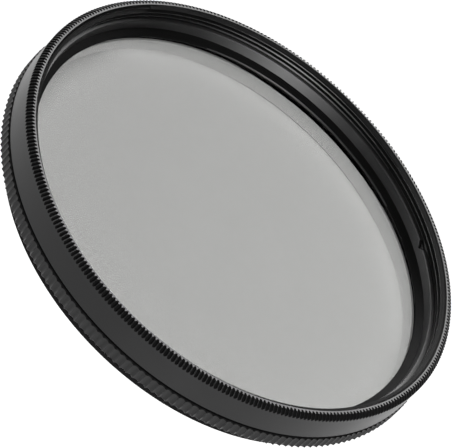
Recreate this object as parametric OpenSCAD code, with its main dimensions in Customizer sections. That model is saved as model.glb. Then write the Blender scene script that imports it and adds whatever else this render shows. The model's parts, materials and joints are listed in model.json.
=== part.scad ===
// Screw in lens filter with a turning front ring: a circular polariser.
// Z runs along the optical axis. The end face of the rear thread is at z = 0,
// and the front rim, which takes a cap or a second filter, is at the top.
// Thread walls are plain here, at their working radius.

/* [Threads] */
// Nominal diameter of the rear and the front thread
thread_d = 67; // [49:1:82]
// Length of the rear thread, which screws into a lens
rear_thread_h = 2.6; // [2:0.1:4]
// Length of the front thread above the retaining ring
front_thread_h = 2.25; // [1.8:0.05:4]
// Radial play between a rear thread and a front thread of the same size
thread_play = 0.07; // [0.02:0.01:0.1]

/* [Base ring] */
// Height of the ribbed flange above the rear thread
flange_h = 1.65; // [1.6:0.05:2.2]
// Depth of the floor under the glass seat, down from the flange
floor_drop = 0.55; // [0.3:0.05:0.8]
// Thickness of the web between the thread and the bearing bore
web_t = 0.5; // [0.4:0.05:0.55]
// Radius by which the smooth band stands out past the thread
band_wall = 1.5; // [1.3:0.1:2.5]
// Radius by which the ribs stand out past the smooth band
rib_proud = 0.5; // [0.5:0.05:0.8]
// Number of coarse grip ribs on the base ring
rib_count = 204; // [120:4:240]
// Depth of the valleys between the coarse ribs
rib_depth = 0.4; // [0.2:0.05:0.45]

/* [Turning ring] */
// Visible gap between the base ring and the turning ring
ring_gap = 0.35; // [0.15:0.05:0.6]
// Number of fine teeth around the front rim
tooth_count = 350; // [200:10:360]
// Depth of the grooves between the fine teeth
tooth_depth = 0.3; // [0.15:0.05:0.35]
// Height of the chamfered rim that carries the fine teeth
rim_h = 0.55; // [0.4:0.05:0.8]
// Radius by which the front face draws in from the smooth band
rim_draw = 0.63; // [0.45:0.01:0.65]

/* [Glass] */
// Thickness of each of the two glass discs
glass_t = 1; // [0.8:0.1:1.5]
// Thickness of each of the two foils between the discs
foil_t = 0.1; // [0.05:0.01:0.2]
// Thickness of the lip that the rear glass sits on
seat_t = 0.5; // [0.4:0.1:0.8]
// Height of the retaining ring above the front glass
retainer_h = 2.3; // [1.8:0.1:3]
// Radius by which the retaining ring's thread is smaller than the front thread
retainer_drop = 0.4; // [0.2:0.05:0.5]
// Direction of the first spanner slot, the second is opposite
slot_angle = 48.5; // [0:0.5:180]
// Width of a spanner slot at the ring's face
slot_w = 1.2; // [0.8:0.1:2]

/* [Fits] */
// Radial play of the turning ring in the base ring
bearing_play = 0.05; // [0.02:0.01:0.1]
// Axial play between the turning ring and the floor
end_play = 0.1; // [0.05:0.01:0.2]
// Radial play of the retaining ring in the front thread
retainer_play = 0.05; // [0.02:0.01:0.1]
// Diameter of the spring wire that holds the two rings together
wire_d = 0.5; // [0.4:0.05:0.55]

/* [Hidden] */
$fn = 180;

// Radii from the thread outwards and inwards
thread_r = thread_d / 2;
rear_wall_r = thread_r - 0.05;
front_wall_r = rear_wall_r + thread_play;
band_r = thread_r + band_wall;
rib_r = band_r + rib_proud;
rib_root_r = rib_r - rib_depth;
rim_face_r = band_r - rim_draw;
bearing_r = thread_r + 0.4;
journal_r = bearing_r - bearing_play;
retainer_wall_r = front_wall_r - retainer_drop;
retainer_r = retainer_wall_r - retainer_play;
skirt_bore_r = thread_r - 0.7;
skirt_r = skirt_bore_r - bearing_play - 0.05;
pocket_r = skirt_r - 0.5;
glass_r = pocket_r - 0.1;
foil_r = glass_r - 0.2;
retainer_bore_r = thread_r - 0.86;
retainer_lip_r = thread_r - 1.98;
seat_bore_r = thread_r - 1.8;
base_bore_r = thread_r - 1.65;

// Heights from the rear end face upwards
base_h = rear_thread_h + flange_h;
floor_z = rear_thread_h - floor_drop;
web_z = rear_thread_h + web_t;
skirt_z = floor_z + end_play;
journal_z = web_z + end_play;
rear_glass_z = skirt_z + seat_t;
rear_foil_z = rear_glass_z + glass_t;
front_foil_z = rear_foil_z + foil_t;
front_glass_z = front_foil_z + foil_t;
retainer_z = front_glass_z + glass_t;
shoulder_z = retainer_z + 0.1;
retainer_top_z = retainer_z + retainer_h;
band_z = base_h + ring_gap;
total_h = retainer_top_z + front_thread_h;
rim_z = total_h - rim_h;

// Small edges and clearances
end_chamfer_h = 0.3;
end_chamfer_r = 0.25;
bore_chamfer = 0.36;
rib_top_gap = 0.3;
rim_ledge = 0.04;
lead_in_h = 0.3;
lead_in_r = thread_r + 0.4;
lip_t = 0.12;
lip_cone_h = 0.64;
retainer_step_z = shoulder_z + 0.1;
slot_depth = 0.8;
wire_play = 0.04;
wire_gap_angle = 8;

// The wire lies half in the base ring and half in the turning ring.
wire_ring_r = (bearing_r + journal_r) / 2 + 0.02;
wire_z = (journal_z + base_h) / 2;
groove_h = wire_d + 2 * wire_play;
groove_z = wire_z - groove_h / 2;
journal_groove_r = wire_ring_r - wire_d / 2 - wire_play;
base_groove_r = wire_ring_r + wire_d / 2 + wire_play;

black = [0.05, 0.05, 0.055];
satin_black = [0.11, 0.11, 0.115];
steel = [0.6, 0.6, 0.6];
smoke = [0.42, 0.42, 0.41, 0.6];

// Ring turned from an outline of [radius, height] points
module turned(outline) {
    rotate_extrude() polygon(outline);
}

// Disc with its rear face at height z
module disc(radius, z, thickness) {
    translate([0, 0, z]) cylinder(r = radius, h = thickness);
}

// Ring outline with rounded ribs, four points to a rib
function rib_points(count, crest, root) = [
    for (i = [0 : count - 1])
        for (step = [[0, crest], [0.3, crest], [0.5, root], [0.8, root]])
            let (a = (i + step[0]) * 360 / count)
                [step[1] * cos(a), step[1] * sin(a)]
];

// Ring outline with sharp V grooves, two points to a tooth
function tooth_points(count, crest, root) = [
    for (i = [0 : 2 * count - 1])
        let (a = i * 180 / count, r = i % 2 == 0 ? crest : root)
            [r * cos(a), r * sin(a)]
];

// Rear ring: thread, floor, bearing bore and coarse ribs
module base_ring() {
    color(black) difference() {
        union() {
            turned([
                [base_bore_r + bore_chamfer, 0],
                [rear_wall_r - end_chamfer_r, 0],
                [rear_wall_r, end_chamfer_h],
                [rear_wall_r, rear_thread_h],
                [band_r, rear_thread_h],
                [band_r, base_h],
                [bearing_r, base_h],
                [bearing_r, web_z],
                [skirt_bore_r, web_z],
                [skirt_bore_r, floor_z],
                [base_bore_r, floor_z],
                [base_bore_r, bore_chamfer],
            ]);
            translate([0, 0, rear_thread_h]) coarse_ribs(flange_h - rib_top_gap);
        }
        turned([
            [bearing_r - 0.1, groove_z],
            [base_groove_r, groove_z],
            [base_groove_r, groove_z + groove_h],
            [bearing_r - 0.1, groove_z + groove_h],
        ]);
    }
}

// Ribbed grip around the flange
module coarse_ribs(height) {
    difference() {
        linear_extrude(height) polygon(rib_points(rib_count, rib_r, rib_root_r));
        translate([0, 0, -1]) cylinder(r = (bearing_r + band_r) / 2, h = height + 2);
    }
}

// Open ring of spring wire in the grooves of both rings
module snap_wire() {
    color(steel) rotate([0, 0, wire_gap_angle / 2])
        rotate_extrude(angle = 360 - wire_gap_angle)
            translate([wire_ring_r, wire_z]) circle(d = wire_d);
}

// Front ring: journal, smooth band, toothed rim, front thread and glass seat
module front_ring() {
    color(satin_black) union() {
        turned([
            [seat_bore_r, skirt_z],
            [skirt_r, skirt_z],
            [skirt_r, journal_z],
            [journal_r, journal_z],
            [journal_r, groove_z],
            [journal_groove_r, groove_z],
            [journal_groove_r, groove_z + groove_h],
            [journal_r, groove_z + groove_h],
            [journal_r, band_z],
            [band_r, band_z],
            [band_r, rim_z],
            [front_wall_r, rim_z],
            [front_wall_r, retainer_top_z],
            [retainer_wall_r, retainer_top_z],
            [retainer_wall_r, shoulder_z],
            [pocket_r, shoulder_z],
            [pocket_r, rear_glass_z],
            [seat_bore_r, rear_glass_z],
        ]);
        toothed_rim();
    }
}

// Chamfered front rim with fine V grooves along the slope
module toothed_rim() {
    crest_r = band_r - rim_ledge;
    difference() {
        translate([0, 0, rim_z])
            linear_extrude(rim_h, scale = rim_face_r / crest_r)
                polygon(tooth_points(tooth_count, crest_r, crest_r - tooth_depth));
        turned([
            [0, rim_z - 1],
            [front_wall_r, rim_z - 1],
            [front_wall_r, total_h - lead_in_h],
            [lead_in_r, total_h],
            [lead_in_r, total_h + 1],
            [0, total_h + 1],
        ]);
    }
}

// Threaded ring that holds the glass, with two V spanner slots
module retaining_ring() {
    color(satin_black) difference() {
        turned([
            [retainer_lip_r, retainer_z],
            [glass_r, retainer_z],
            [glass_r, retainer_step_z],
            [retainer_r, retainer_step_z],
            [retainer_r, retainer_top_z],
            [retainer_bore_r, retainer_top_z],
            [retainer_bore_r, retainer_z + lip_cone_h],
            [retainer_lip_r, retainer_z + lip_t],
        ]);
        for (side = [0, 180])
            rotate([0, 0, slot_angle + side]) spanner_slot();
    }
}

// V groove across the ring's wall, open to its face
module spanner_slot() {
    translate([retainer_bore_r - 0.5, 0, retainer_top_z]) rotate([90, 0, 90])
        linear_extrude(2)
            polygon([[-slot_w / 2, 0], [0, -slot_depth], [slot_w / 2, 0], [slot_w / 2, 1], [-slot_w / 2, 1]]);
}

// Outer glass disc, under the retaining ring
module front_glass() {
    color(smoke) disc(glass_r, front_glass_z, glass_t);
}

// Linear polarising foil, behind the front glass
module polarising_foil() {
    color(smoke) disc(foil_r, front_foil_z, foil_t);
}

// Quarter wave retarder foil, in front of the rear glass
module quarter_wave_foil() {
    color(smoke) disc(foil_r, rear_foil_z, foil_t);
}

// Inner glass disc, on the seat of the front ring
module rear_glass() {
    color(smoke) disc(glass_r, rear_glass_z, glass_t);
}

base_ring();
snap_wire();
front_ring();
retaining_ring();
front_glass();
polarising_foil();
quarter_wave_foil();
rear_glass();
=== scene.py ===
"""Looks of a circular polarising lens filter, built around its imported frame.

The base ring, the front ring and the retaining ring are turned parts. Each is one narrow sector
of a ring, with its rib, tooth or wall in it, that a Geometry Nodes tree repeats around the axis.
The threads are one short step of a ridge that the same tree repeats along a helix.
"""

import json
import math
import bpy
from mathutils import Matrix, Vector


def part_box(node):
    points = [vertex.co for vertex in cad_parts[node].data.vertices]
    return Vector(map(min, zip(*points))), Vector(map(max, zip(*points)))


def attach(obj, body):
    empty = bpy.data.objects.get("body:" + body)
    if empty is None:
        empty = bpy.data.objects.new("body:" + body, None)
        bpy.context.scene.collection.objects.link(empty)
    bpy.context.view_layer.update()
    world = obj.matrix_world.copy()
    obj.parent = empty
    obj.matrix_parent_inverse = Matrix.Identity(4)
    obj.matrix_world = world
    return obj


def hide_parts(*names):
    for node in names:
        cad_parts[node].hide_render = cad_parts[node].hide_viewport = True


bl_info = {
    "name": "Screw In Lens Filter",
    "version": (1, 0, 0),
    "blender": (4, 5, 0),
    "location": "View3D > Sidebar > Lens Filter",
    "description": "Builds the rings, the threads, the glass and the stage of a lens filter",
    "category": "Object",
}

import bmesh
import bpy
from bpy.props import FloatProperty, FloatVectorProperty, IntProperty, PointerProperty
from bpy.types import Operator, Panel, PropertyGroup
from mathutils import Matrix, Vector

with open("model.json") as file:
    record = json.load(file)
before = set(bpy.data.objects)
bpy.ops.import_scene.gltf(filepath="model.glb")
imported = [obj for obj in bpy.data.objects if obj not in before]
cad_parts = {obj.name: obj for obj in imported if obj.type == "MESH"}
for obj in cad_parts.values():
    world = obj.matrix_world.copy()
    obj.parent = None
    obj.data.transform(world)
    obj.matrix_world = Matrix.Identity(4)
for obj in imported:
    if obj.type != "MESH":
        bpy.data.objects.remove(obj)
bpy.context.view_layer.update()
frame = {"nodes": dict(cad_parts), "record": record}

MM = 0.001
BASE_BODY = "base"
FRONT_BODY = "turning_front"


def node_reach(node):
    """Radius, lowest and highest z of a round node."""
    low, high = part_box(node)
    return high.x, low.z, high.z


def mount_radius(name):
    """Wall radius in metres of a round mount of the record."""
    for mount in frame["record"]["mounts"]:
        if mount["name"] == name:
            return mount["dims"]["r_mm"] * MM
    raise ValueError(f"the record has no mount named {name}")


FLANGE_RADIUS, _, BASE_TOP = node_reach("base_ring")
BAND_RADIUS, SKIRT_BOTTOM, FRONT_TOP = node_reach("front_ring")
RETAINER_RADIUS, GLASS_TOP, RETAINER_TOP = node_reach("retaining_ring")
GLASS_RADIUS, REAR_GLASS_BOTTOM, _ = node_reach("rear_glass")
REAR_THREAD_RADIUS = mount_radius("rear_thread")
FRONT_THREAD_RADIUS = mount_radius("front_thread")

# Radii and heights that several outlines and finishes share
THREAD_PITCH = 0.75 * MM
REAR_CREST = REAR_THREAD_RADIUS + 0.05 * MM
RIB_CREST = FLANGE_RADIUS - 0.27 * MM
BORE_RADIUS = REAR_THREAD_RADIUS - 1.6 * MM
BORE_CHAMFER = 0.36 * MM
LEDGE_BORE = REAR_THREAD_RADIUS - 1.65 * MM
POCKET_RADIUS = GLASS_RADIUS + 0.1 * MM
LIP_RADIUS = GLASS_RADIUS - 0.58 * MM
FACE_INNER = BAND_RADIUS - 1.16 * MM
BAND_BOTTOM = BASE_TOP + 0.35 * MM
FRONT_THREAD_BOTTOM = RETAINER_TOP + 0.2 * MM
FRONT_THREAD_TOP = FRONT_TOP - 0.215 * MM
FRONT_THREAD_END = math.radians(150.0)
FRONT_THREAD_START = FRONT_THREAD_END - math.tau * (FRONT_THREAD_TOP - FRONT_THREAD_BOTTOM) / THREAD_PITCH

# Spanner slots of the retaining ring
SLOT_ANGLES = (math.radians(47.5), math.radians(227.5))
SLOT_DEPTH = 0.75 * MM
SLOT_WIDTH = 1.42 * MM

# Share of a groove's width, and share of its depth there
GROOVE_SHAPE = ((0.0, 0.0), (0.12, 0.6), (0.3, 0.9), (0.5, 1.0), (0.7, 0.9), (0.88, 0.6), (1.0, 0.0))

# Meshing
SWEEP_NAME = "Turn Around Axis"
WELD = 0.002 * MM
SHARP_ANGLE = math.radians(18)
THREAD_STEPS = 240
FLUTE_STEPS = 8
DISC_STEPS = 360
END_GAP = 0.02 * MM

# Finishes
MATT_BLACK = (0.003, 0.003, 0.003)
WHITE = (1.0, 1.0, 1.0, 1.0)
RETARDER_TINT = (0.995, 0.995, 0.99)
DEAD_MATT = 0.8
HALF_MATT = 0.5
TURNED_ROUGHNESS = 0.45
TURNED_STRETCH = 0.6
BORE_ROUGHNESS = 0.5
# Painted light: glow of the pale bore and ledge, standing in for the light from the floor
BORE_PAINTED_LIGHT = 0.3
LATHE_SPACING = 0.05 * MM
BLASTED_GRAIN = 0.06 * MM
MARK_HEIGHT = 0.01 * MM
CLOUD_SIZE = 6.0 * MM
SMEAR_SIZE = 9.0 * MM
GLASS_IOR = 1.52

# Stage
CAMERA_ROLL = math.radians(44.349)
CAMERA_ZENITH = math.radians(51.306)
CAMERA_DISTANCE = 560 * MM
CAMERA_TARGET = Vector((0.045 * MM, -5.685 * MM, 8.75 * MM))
FOCAL_PIXELS = 4090.7
PICTURE_WIDTH = 452
SENSOR_WIDTH = 36.0
FLOOR_SIZE = 2.5
FLOOR_GLOW = 1.0
SHADOW_RADII = (28.5 * MM, 32.0 * MM)
SHADOW_END = 32.5 * MM
WORLD_LIGHT = 0.05


class LensFilterSizes(PropertyGroup):
    """Sizes that shape the visible rings"""

    rib_count: IntProperty(
        name="Coarse Ribs",
        description="Number of grip ribs on the base ring",
        default=204,
        min=60,
    )
    rib_depth: FloatProperty(
        name="Rib Depth",
        description="Depth of the valleys between the coarse ribs",
        default=0.24 * MM,
        unit="LENGTH",
        subtype="DISTANCE",
    )
    rib_bottom: FloatProperty(
        name="Rib Bottom",
        description="Height of the flange's lower face above the end face",
        default=2.28 * MM,
        unit="LENGTH",
        subtype="DISTANCE",
    )
    tooth_count: IntProperty(
        name="Fine Teeth",
        description="Number of grooves around the front rim",
        default=350,
        min=60,
    )
    groove_depth: FloatProperty(
        name="Groove Depth",
        description="Depth of the rim's grooves, square to the chamfer",
        default=0.25 * MM,
        unit="LENGTH",
        subtype="DISTANCE",
    )
    groove_share: FloatProperty(
        name="Groove Share",
        description="Share of the tooth pitch that a groove takes at the chamfer",
        default=0.75,
        min=0.2,
        max=0.95,
        subtype="FACTOR",
    )
    rim_height: FloatProperty(
        name="Rim Height",
        description="Height of the chamfer under the front face",
        default=0.55 * MM,
        unit="LENGTH",
        subtype="DISTANCE",
    )
    rim_draw: FloatProperty(
        name="Rim Draw",
        description="Radius by which the front face draws in from the band",
        default=0.63 * MM,
        unit="LENGTH",
        subtype="DISTANCE",
    )
    thread_pitch: FloatProperty(
        name="Thread Pitch",
        description="Rise of the threads in one turn",
        default=THREAD_PITCH,
        unit="LENGTH",
        subtype="DISTANCE",
    )
    thread_depth: FloatProperty(
        name="Thread Depth",
        description="Height of the thread ridges",
        default=0.42 * MM,
        unit="LENGTH",
        subtype="DISTANCE",
    )
    ring_steps: IntProperty(
        name="Ring Steps",
        description="Number of steps around a plain turned ring",
        default=720,
        min=72,
    )


class LensFilterFinish(PropertyGroup):
    """Colours and finishes of the filter and its stage"""

    anodised_colour: FloatVectorProperty(
        name="Anodised Black",
        description="Colour of the dyed oxide on the rings",
        default=(0.007, 0.007, 0.0073),
        subtype="COLOR",
        min=0.0,
        max=1.0,
    )
    anodised_roughness: FloatProperty(
        name="Anodised Roughness",
        description="Roughness of the satin black rings",
        default=0.32,
        min=0.0,
        max=1.0,
        subtype="FACTOR",
    )
    bore_colour: FloatVectorProperty(
        name="Bore Grey",
        description="Colour of the turned rear bore behind the glass",
        default=(0.93, 0.93, 0.93),
        subtype="COLOR",
        min=0.0,
        max=1.0,
    )
    glass_tint: FloatVectorProperty(
        name="Polariser Tint",
        description="Light that the polariser lets through",
        default=(0.418, 0.42, 0.413),
        subtype="COLOR",
        min=0.0,
        max=1.0,
    )
    floor_colour: FloatVectorProperty(
        name="Floor",
        description="Colour of the pale floor",
        default=(0.6, 0.6, 0.6),
        subtype="COLOR",
        min=0.0,
        max=1.0,
    )


# Meshes of turned parts


def ring_point(radius, angle, height):
    """Point of a ring at a radius, an angle about the axis and a height."""
    return Vector((radius * math.cos(angle), radius * math.sin(angle), height))


def sector_mesh(name, columns):
    """Strip between outlines of equal length; columns is a list of (angle, [(radius, height)])."""
    mesh = bpy.data.meshes.new(name)
    build = bmesh.new()
    rows = []
    for angle, outline in columns:
        rows.append([build.verts.new(ring_point(radius, angle, height)) for radius, height in outline])
    for left, right in zip(rows, rows[1:]):
        count = len(left)
        for index in range(count):
            after = (index + 1) % count
            build.faces.new((left[index], right[index], right[after], left[after]))
    build.to_mesh(mesh)
    build.free()
    return mesh


def sweep_tree():
    """Tree that repeats a sector about the axis, with a rise for each step, and welds it."""
    tree = bpy.data.node_groups.new(SWEEP_NAME, "GeometryNodeTree")
    tree.interface.new_socket("Geometry", in_out="INPUT", socket_type="NodeSocketGeometry")
    tree.interface.new_socket("Count", in_out="INPUT", socket_type="NodeSocketInt")
    for name in ("Turn", "Rise", "Weld"):
        tree.interface.new_socket(name, in_out="INPUT", socket_type="NodeSocketFloat")
    tree.interface.new_socket("Material", in_out="INPUT", socket_type="NodeSocketMaterial")
    tree.interface.new_socket("Geometry", in_out="OUTPUT", socket_type="NodeSocketGeometry")
    nodes = tree.nodes
    links = tree.links
    given = nodes.new("NodeGroupInput")
    result = nodes.new("NodeGroupOutput")
    rise = nodes.new("ShaderNodeCombineXYZ")
    line = nodes.new("GeometryNodeMeshLine")
    line.mode = "OFFSET"
    step = nodes.new("GeometryNodeInputIndex")
    turn = nodes.new("ShaderNodeMath")
    turn.operation = "MULTIPLY"
    angles = nodes.new("ShaderNodeCombineXYZ")
    rotation = nodes.new("FunctionNodeEulerToRotation")
    place = nodes.new("GeometryNodeInstanceOnPoints")
    realize = nodes.new("GeometryNodeRealizeInstances")
    weld = nodes.new("GeometryNodeMergeByDistance")
    paint = nodes.new("GeometryNodeSetMaterial")
    links.new(given.outputs["Rise"], rise.inputs["Z"])
    links.new(given.outputs["Count"], line.inputs["Count"])
    links.new(rise.outputs["Vector"], line.inputs["Offset"])
    links.new(step.outputs["Index"], turn.inputs[0])
    links.new(given.outputs["Turn"], turn.inputs[1])
    links.new(turn.outputs["Value"], angles.inputs["Z"])
    links.new(angles.outputs["Vector"], rotation.inputs["Euler"])
    links.new(line.outputs["Mesh"], place.inputs["Points"])
    links.new(given.outputs["Geometry"], place.inputs["Instance"])
    links.new(rotation.outputs["Rotation"], place.inputs["Rotation"])
    links.new(place.outputs["Instances"], realize.inputs["Geometry"])
    links.new(realize.outputs["Geometry"], weld.inputs["Geometry"])
    links.new(given.outputs["Weld"], weld.inputs["Distance"])
    links.new(weld.outputs["Geometry"], paint.inputs["Geometry"])
    links.new(given.outputs["Material"], paint.inputs["Material"])
    links.new(paint.outputs["Geometry"], result.inputs["Geometry"])
    return tree


def input_identifier(tree, name):
    """Identifier of a named input socket of a tree."""
    for item in tree.interface.items_tree:
        if item.item_type == "SOCKET" and item.in_out == "INPUT" and item.name == name:
            return item.identifier
    raise ValueError(f"the tree has no input named {name}")


def swept_mesh(name, sector, count, turn, rise, material):
    """Plain mesh of a sector repeated by the sweep tree."""
    tree = bpy.data.node_groups.get(SWEEP_NAME) or sweep_tree()
    holder = bpy.data.objects.new(name, sector)
    bpy.context.scene.collection.objects.link(holder)
    modifier = holder.modifiers.new("Turn", "NODES")
    modifier.node_group = tree
    given = {"Count": count, "Turn": turn, "Rise": rise, "Weld": WELD, "Material": material}
    for input_name, value in given.items():
        modifier[input_identifier(tree, input_name)] = value
    depsgraph = bpy.context.evaluated_depsgraph_get()
    mesh = bpy.data.meshes.new_from_object(holder.evaluated_get(depsgraph), depsgraph=depsgraph)
    mesh.name = name
    mesh.materials.clear()
    mesh.materials.append(material)
    bpy.data.objects.remove(holder)
    bpy.data.meshes.remove(sector)
    return mesh


def finish_mesh(mesh):
    """Shades a turned mesh smooth, with its corners kept sharp."""
    mesh.polygons.foreach_set("use_smooth", [True] * len(mesh.polygons))
    mesh.set_sharp_from_angle(angle=SHARP_ANGLE)
    mesh.update()


def join_meshes(name, meshes):
    """One mesh of several that share a list of materials."""
    build = bmesh.new()
    for mesh in meshes:
        build.from_mesh(mesh)
    joined = bpy.data.meshes.new(name)
    build.to_mesh(joined)
    build.free()
    for material in meshes[0].materials:
        joined.materials.append(material)
    for mesh in meshes:
        bpy.data.meshes.remove(mesh)
    return joined


def move_to_radius(point, radius, wanted):
    """Moves a point from its radius about the axis to the wanted one."""
    point.x *= wanted / radius
    point.y *= wanted / radius


def thread_ridge(name, root, crest, bottom, top, pitch, start, material):
    """Right-hand thread ridge between two heights, from a start angle, tapered away at both ends."""
    turn = math.tau / THREAD_STEPS
    rise = pitch / THREAD_STEPS
    count = int((top - bottom) / rise)
    half_root = 0.36 * pitch
    half_crest = 0.1 * pitch
    sunk = root + (root - crest) * 0.1
    section = [(sunk, -half_root), (crest, -half_crest), (crest, half_crest), (sunk, half_root)]
    if crest < root:
        section.reverse()
    columns = []
    for step in (0, 1):
        outline = [(radius, bottom + height + step * rise) for radius, height in section]
        columns.append((start + step * turn, outline))
    mesh = swept_mesh(name, sector_mesh(name, columns), count, turn, rise, material)
    fade = pitch * 0.14
    near_crest = abs(root - crest) * 0.2
    for vertex in mesh.vertices:
        radius = math.hypot(vertex.co.x, vertex.co.y)
        if abs(radius - crest) > near_crest:
            continue
        along = vertex.co.z
        keep = min(1.0, max(0.0, min(along - bottom, top - along) / fade))
        move_to_radius(vertex.co, radius, root + (crest - root) * keep)
    build = bmesh.new()
    build.from_mesh(mesh)
    open_edges = [edge for edge in build.edges if edge.is_boundary]
    bmesh.ops.holes_fill(build, edges=open_edges, sides=8)
    build.to_mesh(mesh)
    build.free()
    return mesh


def trim_to_cone(mesh, edge_radius):
    """Trims the rear thread to the 45 degree chamfer that starts at the end face."""
    for vertex in mesh.vertices:
        vertex.co.z = max(vertex.co.z, END_GAP)
        radius = math.hypot(vertex.co.x, vertex.co.y)
        move_to_radius(vertex.co, radius, min(radius, edge_radius + vertex.co.z))


def sink_in_lead(mesh, root):
    """Sinks the root of the front thread in the lead-in cone under the front face."""
    cone_slope = 1.2
    for vertex in mesh.vertices:
        vertex.co.z = min(vertex.co.z, FRONT_TOP - END_GAP)
        radius = math.hypot(vertex.co.x, vertex.co.y)
        if radius > root:
            cone = FACE_INNER - cone_slope * (FRONT_TOP - vertex.co.z) + END_GAP
            move_to_radius(vertex.co, radius, max(radius, cone))


def add_piece(name, mesh, body, nodes):
    """Object at the origin that stands for nodes and rides on their body."""
    finish_mesh(mesh)
    piece = bpy.data.objects.new(name, mesh)
    bpy.context.scene.collection.objects.link(piece)
    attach(piece, body)
    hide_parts(*nodes)


# Materials


def shader_tree(name):
    """New material with an empty tree and its output node."""
    material = bpy.data.materials.new(name)
    material.use_nodes = True
    tree = material.node_tree
    tree.nodes.clear()
    output = tree.nodes.new("ShaderNodeOutputMaterial")
    return material, tree, output


def give(tree, socket, value):
    """Gives a socket a number, or links another node's socket to it."""
    if isinstance(value, (int, float)):
        socket.default_value = value
    else:
        tree.links.new(value, socket)


def math_node(tree, operation, first, second):
    """Result of a math node on two numbers or sockets."""
    node = tree.nodes.new("ShaderNodeMath")
    node.operation = operation
    give(tree, node.inputs[0], first)
    give(tree, node.inputs[1], second)
    return node.outputs["Value"]


def map_range(tree, value, source, target, smooth=False):
    """Value carried over from one range to another, and held at its ends."""
    node = tree.nodes.new("ShaderNodeMapRange")
    if smooth:
        node.interpolation_type = "SMOOTHSTEP"
    for name, number in zip(("From Min", "From Max", "To Min", "To Max"), (*source, *target)):
        node.inputs[name].default_value = number
    tree.links.new(value, node.inputs["Value"])
    return node.outputs["Result"]


def noise(tree, vector, size, detail=2.0):
    """Soft noise whose patches have about the given size."""
    node = tree.nodes.new("ShaderNodeTexNoise")
    node.inputs["Scale"].default_value = 1.0 / size
    node.inputs["Detail"].default_value = detail
    tree.links.new(vector, node.inputs["Vector"])
    return node.outputs["Fac"]


def mix_colours(tree, factor, first, second):
    """Colour between two, picked by a factor."""
    node = tree.nodes.new("ShaderNodeMix")
    node.data_type = "RGBA"
    node.inputs["A"].default_value = (*first, 1.0)
    node.inputs["B"].default_value = (*second, 1.0)
    tree.links.new(factor, node.inputs["Factor"])
    return node.outputs["Result"]


def mix_shaders(tree, factor, first, second):
    """Shader between two, picked by a factor."""
    node = tree.nodes.new("ShaderNodeMixShader")
    for socket, value in zip(node.inputs, (factor, first, second)):
        tree.links.new(value, socket)
    return node.outputs["Shader"]


def object_place(tree):
    """Socket with the object's own coordinates."""
    return tree.nodes.new("ShaderNodeTexCoord").outputs["Object"]


def split_vector(tree, vector):
    """Sockets with the X, Y and Z of a vector."""
    node = tree.nodes.new("ShaderNodeSeparateXYZ")
    tree.links.new(vector, node.inputs["Vector"])
    return node.outputs


def vector_length(tree, vector):
    """Length of a vector."""
    node = tree.nodes.new("ShaderNodeVectorMath")
    node.operation = "LENGTH"
    tree.links.new(vector, node.inputs[0])
    return node.outputs["Value"]


def flat_vector(tree, across, along):
    """Vector with the given X and Y, and no Z."""
    node = tree.nodes.new("ShaderNodeCombineXYZ")
    tree.links.new(across, node.inputs["X"])
    tree.links.new(along, node.inputs["Y"])
    return node.outputs["Vector"]


def turning_marks(tree, spacing, strength):
    """Place, blasted grain and normal of a metal with lathe marks around its axis."""
    place = object_place(tree)
    parts = split_vector(tree, place)
    radius = vector_length(tree, flat_vector(tree, parts["X"], parts["Y"]))
    marks = noise(tree, flat_vector(tree, radius, parts["Z"]), spacing)
    grain = noise(tree, place, BLASTED_GRAIN, detail=3.0)
    bump = tree.nodes.new("ShaderNodeBump")
    bump.inputs["Strength"].default_value = strength
    bump.inputs["Distance"].default_value = MARK_HEIGHT
    tree.links.new(math_node(tree, "ADD", marks, grain), bump.inputs["Height"])
    return place, grain, bump.outputs["Normal"]


def anodised_metal(name, colour, roughness, specular=0.24, turned=0.0, glow=0.0):
    """Dyed and sealed oxide on aluminium; turned stretches its shine across the lathe marks."""
    material, tree, output = shader_tree(name)
    links = tree.links
    place, grain, normal = turning_marks(tree, LATHE_SPACING, 0.25)
    cloud = noise(tree, place, CLOUD_SIZE)
    shine = map_range(tree, cloud, (0.0, 1.0), (roughness * 0.85, roughness * 1.15))
    darker = [part * 0.8 for part in colour]
    paler = [part * 1.25 for part in colour]
    lathe = tree.nodes.new("ShaderNodeTangent")
    lathe.direction_type = "RADIAL"
    lathe.axis = "Z"
    surface = tree.nodes.new("ShaderNodeBsdfPrincipled")
    surface.inputs["Specular IOR Level"].default_value = specular
    surface.inputs["Emission Color"].default_value = WHITE
    surface.inputs["Emission Strength"].default_value = glow
    surface.inputs["Anisotropic"].default_value = turned
    surface.inputs["Anisotropic Rotation"].default_value = 0.25
    links.new(lathe.outputs["Tangent"], surface.inputs["Tangent"])
    links.new(mix_colours(tree, grain, darker, paler), surface.inputs["Base Color"])
    links.new(shine, surface.inputs["Roughness"])
    links.new(normal, surface.inputs["Normal"])
    links.new(surface.outputs["BSDF"], output.inputs["Surface"])
    return material


def turned_metal(name, colour, specular):
    """Anodised metal whose lathe marks show."""
    return anodised_metal(name, colour, TURNED_ROUGHNESS, specular=specular, turned=TURNED_STRETCH)


def pale_metal(name, colour):
    """Pale metal of the bore and the ledge, with a small glow: painted light that stands in for the light
    from the floor.
    """
    return anodised_metal(name, colour, BORE_ROUGHNESS, glow=BORE_PAINTED_LIGHT)


def steel_wire(name):
    """Drawn spring steel."""
    material, tree, output = shader_tree(name)
    _, _, normal = turning_marks(tree, 0.03 * MM, 0.2)
    surface = tree.nodes.new("ShaderNodeBsdfPrincipled")
    surface.inputs["Base Color"].default_value = (0.55, 0.55, 0.55, 1.0)
    surface.inputs["Metallic"].default_value = 1.0
    surface.inputs["Roughness"].default_value = 0.35
    tree.links.new(normal, surface.inputs["Normal"])
    tree.links.new(surface.outputs["BSDF"], output.inputs["Surface"])
    return material


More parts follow.
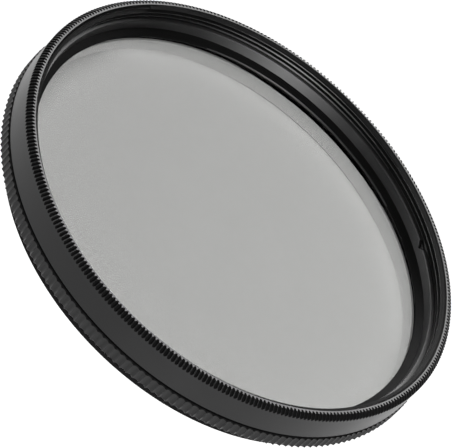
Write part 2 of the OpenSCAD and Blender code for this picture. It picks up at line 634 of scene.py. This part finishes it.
def let_light_by(tree, surface):
    """Shader that lamps and soft light from the floor pass through unchanged."""
    rays = tree.nodes.new("ShaderNodeLightPath")
    clear = tree.nodes.new("ShaderNodeBsdfTransparent").outputs["BSDF"]
    soft = mix_shaders(tree, rays.outputs["Is Diffuse Ray"], surface, clear)
    return mix_shaders(tree, rays.outputs["Is Shadow Ray"], soft, clear)


def coated_glass(name, shine):
    """Clear optical glass whose coating takes most of the reflection away."""
    material, tree, output = shader_tree(name)
    smear = noise(tree, object_place(tree), SMEAR_SIZE, detail=4.0)
    haze = map_range(tree, smear, (0.0, 1.0), (0.15, 0.2))
    bend = tree.nodes.new("ShaderNodeBsdfRefraction")
    bend.inputs["IOR"].default_value = GLASS_IOR
    bend.inputs["Roughness"].default_value = 0.0
    gloss = tree.nodes.new("ShaderNodeBsdfGlossy")
    tree.links.new(haze, gloss.inputs["Roughness"])
    edge = tree.nodes.new("ShaderNodeFresnel")
    edge.inputs["IOR"].default_value = GLASS_IOR
    less = math_node(tree, "MULTIPLY", edge.outputs["Fac"], shine)
    both = mix_shaders(tree, less, bend.outputs["BSDF"], gloss.outputs["BSDF"])
    tree.links.new(let_light_by(tree, both), output.inputs["Surface"])
    return material


def tinted_foil(name, tint):
    """Foil that dims what is seen through its two faces to the tint, a little more on the left as painted
    shade.
    """
    material, tree, output = shader_tree(name)
    parts = split_vector(tree, object_place(tree))
    across = map_range(tree, parts["X"], (-GLASS_RADIUS, GLASS_RADIUS), (0.0, 1.0))
    one_face = [math.sqrt(part) for part in tint]
    # Painted shade: the foil is darker towards its left edge
    darker = [part * 0.96 for part in one_face]
    veil = tree.nodes.new("ShaderNodeBsdfTransparent")
    tree.links.new(mix_colours(tree, across, darker, one_face), veil.inputs["Color"])
    tree.links.new(let_light_by(tree, veil.outputs["BSDF"]), output.inputs["Surface"])
    return material


# Outlines of the rings, upwards on the outside and downwards on the inside


def base_outline(rib_radius):
    """Section of the base ring where its rib reaches the given radius."""
    sizes = bpy.context.scene.lens_filter_sizes
    flange = sizes.rib_bottom
    root = REAR_CREST - sizes.thread_depth
    bearing = BAND_RADIUS - 1.1 * MM
    bearing_edge = 0.05 * MM
    skirt_bore = GLASS_RADIUS + 0.7 * MM
    bore_edge = 0.06 * MM
    web = flange + 0.5 * MM
    floor = SKIRT_BOTTOM - END_GAP
    rim = min(rib_radius, BAND_RADIUS)
    return [
        (BORE_RADIUS + BORE_CHAMFER, 0.0),
        (root + 0.22 * MM, 0.0),
        (root + 0.29 * MM, 0.06 * MM),
        (root + 0.27 * MM, 0.24 * MM),
        (root, 0.46 * MM),
        (root, flange - 0.07 * MM),
        (rib_radius - 0.1 * MM, flange - 0.07 * MM),
        (rib_radius, flange + 0.03 * MM),
        (rib_radius, BASE_TOP - 0.12 * MM),
        (rim - 0.1 * MM, BASE_TOP),
        (bearing + bearing_edge, BASE_TOP),
        (bearing, BASE_TOP - bearing_edge),
        (bearing, web),
        (skirt_bore, web),
        (skirt_bore, floor),
        (BORE_RADIUS + bore_edge, floor),
        (BORE_RADIUS, floor - bore_edge),
        (BORE_RADIUS, BORE_CHAMFER),
    ]


def rib_columns(sizes):
    """Columns over one hollow flute, from one sharp crest to the next."""
    pitch = math.tau / sizes.rib_count
    columns = []
    for step in range(FLUTE_STEPS + 1):
        phase = step / FLUTE_STEPS
        hollow = 1.0 - (2.0 * phase - 1.0) ** 2
        radius = RIB_CREST - sizes.rib_depth * hollow
        columns.append((phase * pitch, base_outline(radius)))
    return columns


def front_outline(sizes, depth):
    """Section of the front ring where a groove of its rim has the given depth."""
    slope = math.hypot(sizes.rim_draw, sizes.rim_height)
    down = depth * slope / sizes.rim_draw
    inward = depth * slope / sizes.rim_height
    face = BAND_RADIUS - sizes.rim_draw
    skirt = GLASS_RADIUS + 0.6 * MM
    journal = BAND_RADIUS - 1.15 * MM
    journal_bottom = sizes.rib_bottom + 0.6 * MM
    band_edge = 0.06 * MM
    lead_in = 0.3 * MM
    relief = 0.4 * MM
    retainer_wall = RETAINER_RADIUS + 0.05 * MM
    shoulder = GLASS_TOP + 0.1 * MM
    ledge_edge = 0.05 * MM
    ledge_width = POCKET_RADIUS - LEDGE_BORE
    return [
        (LEDGE_BORE + ledge_edge, SKIRT_BOTTOM),
        (skirt, SKIRT_BOTTOM),
        (skirt, journal_bottom),
        (journal, journal_bottom),
        (journal, BAND_BOTTOM),
        (BAND_RADIUS - band_edge, BAND_BOTTOM),
        (BAND_RADIUS, BAND_BOTTOM + band_edge),
        (BAND_RADIUS, FRONT_TOP - sizes.rim_height - down),
        (face - inward, FRONT_TOP),
        (FACE_INNER, FRONT_TOP),
        (FRONT_THREAD_RADIUS, FRONT_TOP - lead_in),
        (FRONT_THREAD_RADIUS, RETAINER_TOP - relief),
        (retainer_wall, RETAINER_TOP - relief),
        (retainer_wall, shoulder),
        (POCKET_RADIUS, shoulder),
        (POCKET_RADIUS, REAR_GLASS_BOTTOM),
        *[(LEDGE_BORE + share * ledge_width, REAR_GLASS_BOTTOM) for share in (0.75, 0.5, 0.25)],
        (LEDGE_BORE, REAR_GLASS_BOTTOM),
        (LEDGE_BORE, SKIRT_BOTTOM + ledge_edge),
    ]


def tooth_columns(sizes):
    """Columns over one fine tooth: a land and a rounded groove."""
    pitch = math.tau / sizes.tooth_count
    land = 1.0 - sizes.groove_share
    columns = [(0.0, front_outline(sizes, 0.0))]
    for across, down in GROOVE_SHAPE:
        angle = (land + across * sizes.groove_share) * pitch
        columns.append((angle, front_outline(sizes, down * sizes.groove_depth)))
    return columns


def retainer_outline():
    """Section of the retaining ring, with a flange at its face and a cone down to the lip."""
    wall = GLASS_RADIUS + 0.54 * MM
    wall_edge = 0.1 * MM
    rim = RETAINER_RADIUS + 0.18 * MM
    rim_edge = 0.05 * MM
    rim_bottom = RETAINER_TOP - 0.3 * MM
    step = GLASS_TOP + 0.2 * MM
    return [
        (LIP_RADIUS, GLASS_TOP),
        (GLASS_RADIUS, GLASS_TOP),
        (GLASS_RADIUS, step),
        (RETAINER_RADIUS, step),
        (RETAINER_RADIUS, rim_bottom),
        (rim, rim_bottom),
        (rim, RETAINER_TOP - rim_edge),
        (rim - rim_edge, RETAINER_TOP),
        (wall + wall_edge, RETAINER_TOP),
        (wall, RETAINER_TOP - wall_edge),
        (wall, GLASS_TOP + 0.64 * MM),
        (LIP_RADIUS + 0.07 * MM, GLASS_TOP + 0.15 * MM),
        (LIP_RADIUS, GLASS_TOP + 0.08 * MM),
    ]


def cut_slots(mesh):
    """Sinks the face of the retaining ring into a V at each spanner slot."""
    cut_from = RETAINER_TOP - 0.15 * MM
    for vertex in mesh.vertices:
        if vertex.co.z < cut_from:
            continue
        for slot_angle in SLOT_ANGLES:
            along = vertex.co.x * math.cos(slot_angle) + vertex.co.y * math.sin(slot_angle)
            across = vertex.co.y * math.cos(slot_angle) - vertex.co.x * math.sin(slot_angle)
            if along > 0 and abs(across) < SLOT_WIDTH / 2:
                vertex.co.z -= SLOT_DEPTH * (1.0 - abs(across) / (SLOT_WIDTH / 2))


def disc_mesh(name, radius, bottom, top, material):
    """Solid disc with a small ground bevel."""
    edge = 0.08 * MM if top - bottom > 0.3 * MM else 0.01 * MM
    outline = [(radius - edge, bottom), (radius, bottom + edge), (radius, top - edge), (radius - edge, top)]
    build = bmesh.new()
    rows = []
    for index in range(DISC_STEPS):
        angle = math.tau * index / DISC_STEPS
        rows.append([build.verts.new(ring_point(wide, angle, height)) for wide, height in outline])
    for index in range(DISC_STEPS):
        left = rows[index]
        right = rows[(index + 1) % DISC_STEPS]
        for low in range(len(outline) - 1):
            build.faces.new((left[low], right[low], right[low + 1], left[low + 1]))
    build.faces.new([row[0] for row in reversed(rows)])
    build.faces.new([row[-1] for row in rows])
    mesh = bpy.data.meshes.new(name)
    build.to_mesh(mesh)
    build.free()
    mesh.materials.append(material)
    return mesh


# Finishes of single faces


def paint_faces(mesh, material, wanted):
    """Gives the faces that pass a test a finish of their own; the test gets a face and its radius."""
    index = mesh.materials.find(material.name)
    if index < 0:
        mesh.materials.append(material)
        index = len(mesh.materials) - 1
    for polygon in mesh.polygons:
        if wanted(polygon, math.hypot(polygon.center.x, polygon.center.y)):
            polygon.material_index = index


def paint_zone(mesh, material, radii, heights, least_lean=-1.0):
    """Finish for the faces between two radii and two heights; least_lean leaves out the walls."""

    def wanted(polygon, radius):
        inside = radii[0] < radius < radii[1] and heights[0] < polygon.center.z < heights[1]
        return inside and abs(polygon.normal.z) > least_lean

    paint_faces(mesh, material, wanted)


def paint_slot_shade(mesh, material):
    """Dead matt finish for the sloping faces of the spanner slots, as painted shade that keeps them dark.
    """

    def wanted(polygon, radius):
        centre = polygon.center
        sunk = RETAINER_TOP - SLOT_DEPTH < centre.z < RETAINER_TOP - 0.01 * MM
        sideways = abs(polygon.normal.x * centre.y - polygon.normal.y * centre.x)
        return sunk and 0.3 < polygon.normal.z < 0.98 and sideways > 0.2 * GLASS_RADIUS

    paint_faces(mesh, material, wanted)


def turn_from_far_side(point):
    """Angle in degrees about the axis, from the side furthest from the camera."""
    return math.degrees(math.atan2(point.x, point.y))


def paint_lip_shade(mesh, material):
    """Dead matt finish for the edge of the retaining ring's lip away from the far side: painted shade, so
    that it stays bright around the far side only.
    """
    bright_middle = -5.0
    bright_reach = 33.0

    def wanted(polygon, radius):
        near_edge = radius < LIP_RADIUS + 0.08 * MM and polygon.center.z < GLASS_TOP + 0.2 * MM
        return near_edge and abs(turn_from_far_side(polygon.center) - bright_middle) > bright_reach

    paint_faces(mesh, material, wanted)


def paint_ledge_light_and_shade(mesh, material):
    """Pale finish, with its painted glow, for the ledge under the glass on a strip that ends towards the
    far side; the black left there is painted shade.
    """
    width = POCKET_RADIUS - LEDGE_BORE
    shade_reach = 14.0
    fade = 20.0

    def wanted(polygon, radius):
        if abs(polygon.center.z - REAR_GLASS_BOTTOM) > 0.01 * MM:
            return False
        across = (radius - LEDGE_BORE) / width
        lit_share = (abs(turn_from_far_side(polygon.center)) - shade_reach) / fade
        return 0.0 < across < 1.0 and across < lit_share

    paint_faces(mesh, material, wanted)


def paint_groove_shade(mesh, sizes, material):
    """Dead matt, darker black for the grooves of the rim: painted shade in the hollows, so that its lands
    stand out.
    """
    pitch = math.tau / sizes.tooth_count
    land = 1.0 - sizes.groove_share
    bottom = FRONT_TOP - sizes.rim_height - 0.5 * MM

    def wanted(polygon, radius):
        centre = polygon.center
        on_rim = bottom < centre.z < FRONT_TOP - END_GAP and radius > FACE_INNER + 0.1 * MM
        phase = math.atan2(centre.y, centre.x) / pitch % 1.0
        return on_rim and phase > land and polygon.normal.z > 0.2

    paint_faces(mesh, material, wanted)


# Operators


class LensFilterBaseRing(Operator):
    """Builds the base ring with its ribs, its rear thread and its bore"""

    bl_idname = "lens_filter.base_ring"
    bl_label = "Base Ring"

    def execute(self, context):
        sizes = context.scene.lens_filter_sizes
        finish = context.scene.lens_filter_finish
        black = anodised_metal("Base Black", finish.anodised_colour, finish.anodised_roughness)
        grey = pale_metal("Bore Satin Glow", finish.bore_colour)
        sector = sector_mesh("base_sector", rib_columns(sizes))
        ring = swept_mesh("base_ring_body", sector, sizes.rib_count, math.tau / sizes.rib_count, 0.0, black)
        thread_bottom = 0.1 * MM
        thread_top = sizes.rib_bottom - 0.25 * MM
        thread = thread_ridge(
            "rear_thread",
            REAR_CREST - sizes.thread_depth,
            REAR_CREST,
            thread_bottom,
            thread_top,
            sizes.thread_pitch,
            0.0,
            black,
        )
        trim_to_cone(thread, REAR_CREST - 0.18 * MM)
        mesh = join_meshes("base_ring_turned", [ring, thread])
        # Pale bore wall, glowing with painted light
        bore_wall = (BORE_RADIUS - 0.1 * MM, BORE_RADIUS + 0.03 * MM)
        paint_zone(mesh, grey, bore_wall, (BORE_CHAMFER, sizes.rib_bottom))
        # Painted shade: darker, dead matt black on the rear thread next to the floor, and on the flange's
        # top edge under the front ring's band
        matt = anodised_metal("Thread Shade Matt", MATT_BLACK, DEAD_MATT, specular=0.05)
        paint_zone(mesh, matt, (REAR_CREST - 0.5 * MM, REAR_CREST + 0.05 * MM), (0.0, sizes.rib_bottom))
        paint_zone(mesh, matt, (BAND_RADIUS - 0.5 * MM, FLANGE_RADIUS), (BASE_TOP - 0.11 * MM, FRONT_TOP))
        add_piece("base_ring_turned", mesh, BASE_BODY, ["base_ring"])
        return {"FINISHED"}


class LensFilterSnapWire(Operator):
    """Gives the spring wire between the rings its steel finish"""

    bl_idname = "lens_filter.snap_wire"
    bl_label = "Snap Wire"

    def execute(self, context):
        wire = frame["nodes"]["snap_wire"]
        wire.data.materials.clear()
        wire.data.materials.append(steel_wire("Spring Steel"))
        return {"FINISHED"}


class LensFilterFrontRing(Operator):
    """Builds the turning front ring with its knurled rim and its front thread"""

    bl_idname = "lens_filter.front_ring"
    bl_label = "Front Ring"

    def execute(self, context):
        sizes = context.scene.lens_filter_sizes
        finish = context.scene.lens_filter_finish
        black = anodised_metal("Front Black", finish.anodised_colour, finish.anodised_roughness)
        sector = sector_mesh("front_sector", tooth_columns(sizes))
        turn = math.tau / sizes.tooth_count
        ring = swept_mesh("front_ring_body", sector, sizes.tooth_count, turn, 0.0, black)
        crest = FRONT_THREAD_RADIUS - sizes.thread_depth
        thread = thread_ridge(
            "front_thread",
            FRONT_THREAD_RADIUS,
            crest,
            FRONT_THREAD_BOTTOM,
            FRONT_THREAD_TOP,
            sizes.thread_pitch,
            FRONT_THREAD_START,
            black,
        )
        sink_in_lead(thread, FRONT_THREAD_RADIUS)
        mesh = join_meshes("front_ring_turned", [ring, thread])
        # Painted shade: darker, dead matt grooves on the rim
        matt = anodised_metal("Groove Shade Matt", MATT_BLACK, DEAD_MATT, specular=0.03)
        paint_groove_shade(mesh, sizes, matt)
        grey = pale_metal("Ledge Satin Glow", finish.bore_colour)
        cut = turned_metal("Thread Satin", finish.anodised_colour, specular=0.45)
        thread_wall = (crest - END_GAP, FRONT_THREAD_RADIUS + 0.01 * MM)
        paint_zone(mesh, cut, thread_wall, (RETAINER_TOP, FRONT_TOP))
        # Painted shade: the thread's flanks and the lead-in cone get a darker, duller black than the satin
        # crests
        flank = anodised_metal("Flank Shade Matt", MATT_BLACK, HALF_MATT, specular=0.06)
        flanks = (crest - END_GAP, FACE_INNER - END_GAP)
        paint_zone(mesh, flank, flanks, (RETAINER_TOP, FRONT_TOP - 0.01 * MM), least_lean=0.3)
        # Pale, glowing ledge wall and ledge; towards the far side the ledge stays black as painted shade
        ledge_wall = (LEDGE_BORE - 0.1 * MM, LEDGE_BORE + 0.03 * MM)
        paint_zone(mesh, grey, ledge_wall, (SKIRT_BOTTOM, REAR_GLASS_BOTTOM))
        paint_ledge_light_and_shade(mesh, grey)
        add_piece("front_ring_turned", mesh, FRONT_BODY, ["front_ring"])
        return {"FINISHED"}


class LensFilterRetainingRing(Operator):
    """Builds the slotted ring that holds the glass"""

    bl_idname = "lens_filter.retaining_ring"
    bl_label = "Retaining Ring"

    def execute(self, context):
        sizes = context.scene.lens_filter_sizes
        finish = context.scene.lens_filter_finish
        black = turned_metal("Retainer Black", finish.anodised_colour, specular=0.36)
        matt = anodised_metal("Cone Matt", MATT_BLACK, HALF_MATT, specular=0.035)
        turn = math.tau / sizes.ring_steps
        outline = retainer_outline()
        sector = sector_mesh("retainer_sector", [(0.0, outline), (turn, outline)])
        mesh = swept_mesh("retaining_ring_turned", sector, sizes.ring_steps, turn, 0.0, black)
        cut_slots(mesh)
        cone = (LIP_RADIUS + 0.08 * MM, LIP_RADIUS + 1.11 * MM)
        paint_zone(mesh, matt, cone, (GLASS_TOP + 0.2 * MM, GLASS_TOP + 0.6 * MM))
        # Painted shade: dead matt, darker slot faces
        paint_slot_shade(mesh, matt)
        # Painted shade: the lip's edge is dead matt away from the far side
        paint_lip_shade(mesh, matt)
        add_piece("retaining_ring_turned", mesh, FRONT_BODY, ["retaining_ring"])
        return {"FINISHED"}


class LensFilterGlass(Operator):
    """Builds the two glass discs and the two foils between them"""

    bl_idname = "lens_filter.glass"
    bl_label = "Glass Stack"

    def execute(self, context):
        finish = context.scene.lens_filter_finish
        gap = 0.004 * MM
        stack = (
            ("front_glass", "coated_glass", coated_glass("Front Glass", 0.05)),
            ("polarising_foil", "polariser", tinted_foil("Polariser", finish.glass_tint)),
            ("quarter_wave_foil", "retarder", tinted_foil("Retarder", RETARDER_TINT)),
            ("rear_glass", "rear_glass", coated_glass("Rear Glass", 0.03)),
        )
        for node, slot_name, material in stack:
            radius, bottom, top = node_reach(node)
            mesh = disc_mesh(node + "_disc", radius, bottom + gap, top - gap, material)
            add_piece(node + "_disc", mesh, FRONT_BODY, [node])
        return {"FINISHED"}


# Stage


def aim_camera():
    """Long lens above the near side, rolled as the photograph is."""
    data = bpy.data.cameras.new("Camera")
    camera = bpy.data.objects.new("Camera", data)
    bpy.context.scene.collection.objects.link(camera)
    bpy.context.scene.camera = camera
    data.sensor_width = SENSOR_WIDTH
    data.lens = FOCAL_PIXELS / PICTURE_WIDTH * SENSOR_WIDTH
    data.clip_start = 0.01
    data.clip_end = 20.0
    roll = CAMERA_ROLL
    zenith = CAMERA_ZENITH
    right = Vector((math.cos(roll), math.sin(roll) * math.cos(zenith), math.sin(roll) * math.sin(zenith)))
    up = Vector((-math.sin(roll), math.cos(roll) * math.cos(zenith), math.cos(roll) * math.sin(zenith)))
    back = Vector((0.0, -math.sin(zenith), math.cos(zenith)))
    turned = Matrix((right, up, back)).transposed()
    place = CAMERA_TARGET + back * CAMERA_DISTANCE
    camera.matrix_world = Matrix.Translation(place) @ turned.to_4x4()


def contact_shadow(tree, place):
    """Glow of the floor, less in the corner between the floor and the near half of the bore."""
    parts = split_vector(tree, place)
    radius = vector_length(tree, place)
    inside = map_range(tree, radius, SHADOW_RADII, (0.0, 1.0), smooth=True)
    under_bore = math_node(tree, "LESS_THAN", radius, SHADOW_END)
    from_left = map_range(tree, parts["X"], (-32.0 * MM, 32.0 * MM), (0.42, 0.15))
    near_half = map_range(tree, parts["Y"], (18.0 * MM, 8.0 * MM), (0.0, 1.0), smooth=True)
    corner = math_node(tree, "MULTIPLY", inside, under_bore)
    depth = math_node(tree, "MULTIPLY", from_left, near_half)
    shadow = math_node(tree, "MULTIPLY", corner, depth)
    return map_range(tree, shadow, (0.0, 1.0), (FLOOR_GLOW, 0.0))


def pale_floor(colour):
    """Plain pale floor that glows as a light table does."""
    material, tree, output = shader_tree("Pale Floor")
    links = tree.links
    place = object_place(tree)
    darker = [part * 0.99 for part in colour]
    tone = mix_colours(tree, noise(tree, place, 1.0 / 3.0), darker, colour)
    surface = tree.nodes.new("ShaderNodeBsdfPrincipled")
    surface.inputs["Roughness"].default_value = 0.8
    surface.inputs["Specular IOR Level"].default_value = 0.0
    surface.inputs["Emission Color"].default_value = WHITE
    links.new(contact_shadow(tree, place), surface.inputs["Emission Strength"])
    links.new(tone, surface.inputs["Base Color"])
    links.new(surface.outputs["BSDF"], output.inputs["Surface"])
    return material


def area_light(name, place, size, power, sheen=True):
    """Soft box aimed at the filter that gives either sheen or soft fill."""
    data = bpy.data.lights.new(name, "AREA")
    data.shape = "RECTANGLE"
    data.size = size[0]
    data.size_y = size[1]
    data.energy = power
    lamp = bpy.data.objects.new(name, data)
    bpy.context.scene.collection.objects.link(lamp)
    lamp.location = place
    lamp.rotation_mode = "QUATERNION"
    lamp.rotation_quaternion = (-Vector(place)).to_track_quat("-Z", "Y")
    lamp.visible_diffuse = not sheen
    lamp.visible_glossy = sheen


def add_floor(colour):
    """Large floor just under the end face of the rear thread."""
    mesh = bpy.data.meshes.new("floor")
    build = bmesh.new()
    bmesh.ops.create_grid(build, x_segments=1, y_segments=1, size=FLOOR_SIZE)
    bmesh.ops.translate(build, verts=build.verts, vec=(0.0, 0.0, -END_GAP))
    build.to_mesh(mesh)
    build.free()
    mesh.materials.append(pale_floor(colour))
    floor = bpy.data.objects.new("floor", mesh)
    bpy.context.scene.collection.objects.link(floor)


class LensFilterStage(Operator):
    """Builds the pale floor, the soft light and the camera"""

    bl_idname = "lens_filter.stage"
    bl_label = "Stage"

    def execute(self, context):
        scene = context.scene
        finish = scene.lens_filter_finish
        add_floor(finish.floor_colour)
        world = bpy.data.worlds.new("Soft White")
        world.use_nodes = True
        background = world.node_tree.nodes["Background"]
        background.inputs["Color"].default_value = WHITE
        background.inputs["Strength"].default_value = WORLD_LIGHT
        scene.world = world
        scene.view_settings.view_transform = "Standard"
        area_light("Back Soft Box", (0.0, 0.9, 0.75), (0.9, 0.5), 16.0)
        area_light("Top Soft Box", (0.5, -0.1, 1.1), (0.4, 0.4), 6.0)
        area_light("Left Soft Box", (-0.65, -0.4, 1.0), (0.4, 0.4), 3.0)
        area_light("Back Left Soft Box", (-0.7, 0.85, 0.55), (0.5, 0.4), 9.0)
        area_light("Left Low Soft Box", (-1.0, -0.15, 0.15), (0.5, 0.3), 14.0)
        area_light("Right Soft Box", (0.5, -1.0, 0.2), (0.55, 0.3), 80.0)
        area_light("Front Fill", (0.0, -1.0, 0.55), (0.6, 0.6), 6.5, sheen=False)
        aim_camera()
        return {"FINISHED"}


class LensFilterPanel(Panel):
    """Lists the filter's pieces and its stage in the sidebar"""

    bl_idname = "VIEW3D_PT_lens_filter"
    bl_label = "Lens Filter"
    bl_space_type = "VIEW_3D"
    bl_region_type = "UI"
    bl_category = "Lens Filter"

    def draw(self, context):
        layout = self.layout
        sizes = context.scene.lens_filter_sizes
        finish = context.scene.lens_filter_finish
        for group in (sizes, finish):
            for name in group.bl_rna.properties.keys():
                if name not in ("rna_type", "name"):
                    layout.prop(group, name)
        for operator in PIECES:
            layout.operator(operator.bl_idname)


PIECES = (
    LensFilterBaseRing,
    LensFilterSnapWire,
    LensFilterFrontRing,
    LensFilterRetainingRing,
    LensFilterGlass,
    LensFilterStage,
)
CLASSES = (LensFilterSizes, LensFilterFinish, *PIECES, LensFilterPanel)


def register():
    for one in CLASSES:
        bpy.utils.register_class(one)
    bpy.types.Scene.lens_filter_sizes = PointerProperty(type=LensFilterSizes)
    bpy.types.Scene.lens_filter_finish = PointerProperty(type=LensFilterFinish)


def unregister():
    del bpy.types.Scene.lens_filter_finish
    del bpy.types.Scene.lens_filter_sizes
    for one in reversed(CLASSES):
        bpy.utils.unregister_class(one)


def main():
    register()
    bpy.ops.lens_filter.base_ring()
    bpy.ops.lens_filter.snap_wire()
    bpy.ops.lens_filter.front_ring()
    bpy.ops.lens_filter.retaining_ring()
    bpy.ops.lens_filter.glass()
    bpy.ops.lens_filter.stage()


if __name__ == "__main__":
    main()
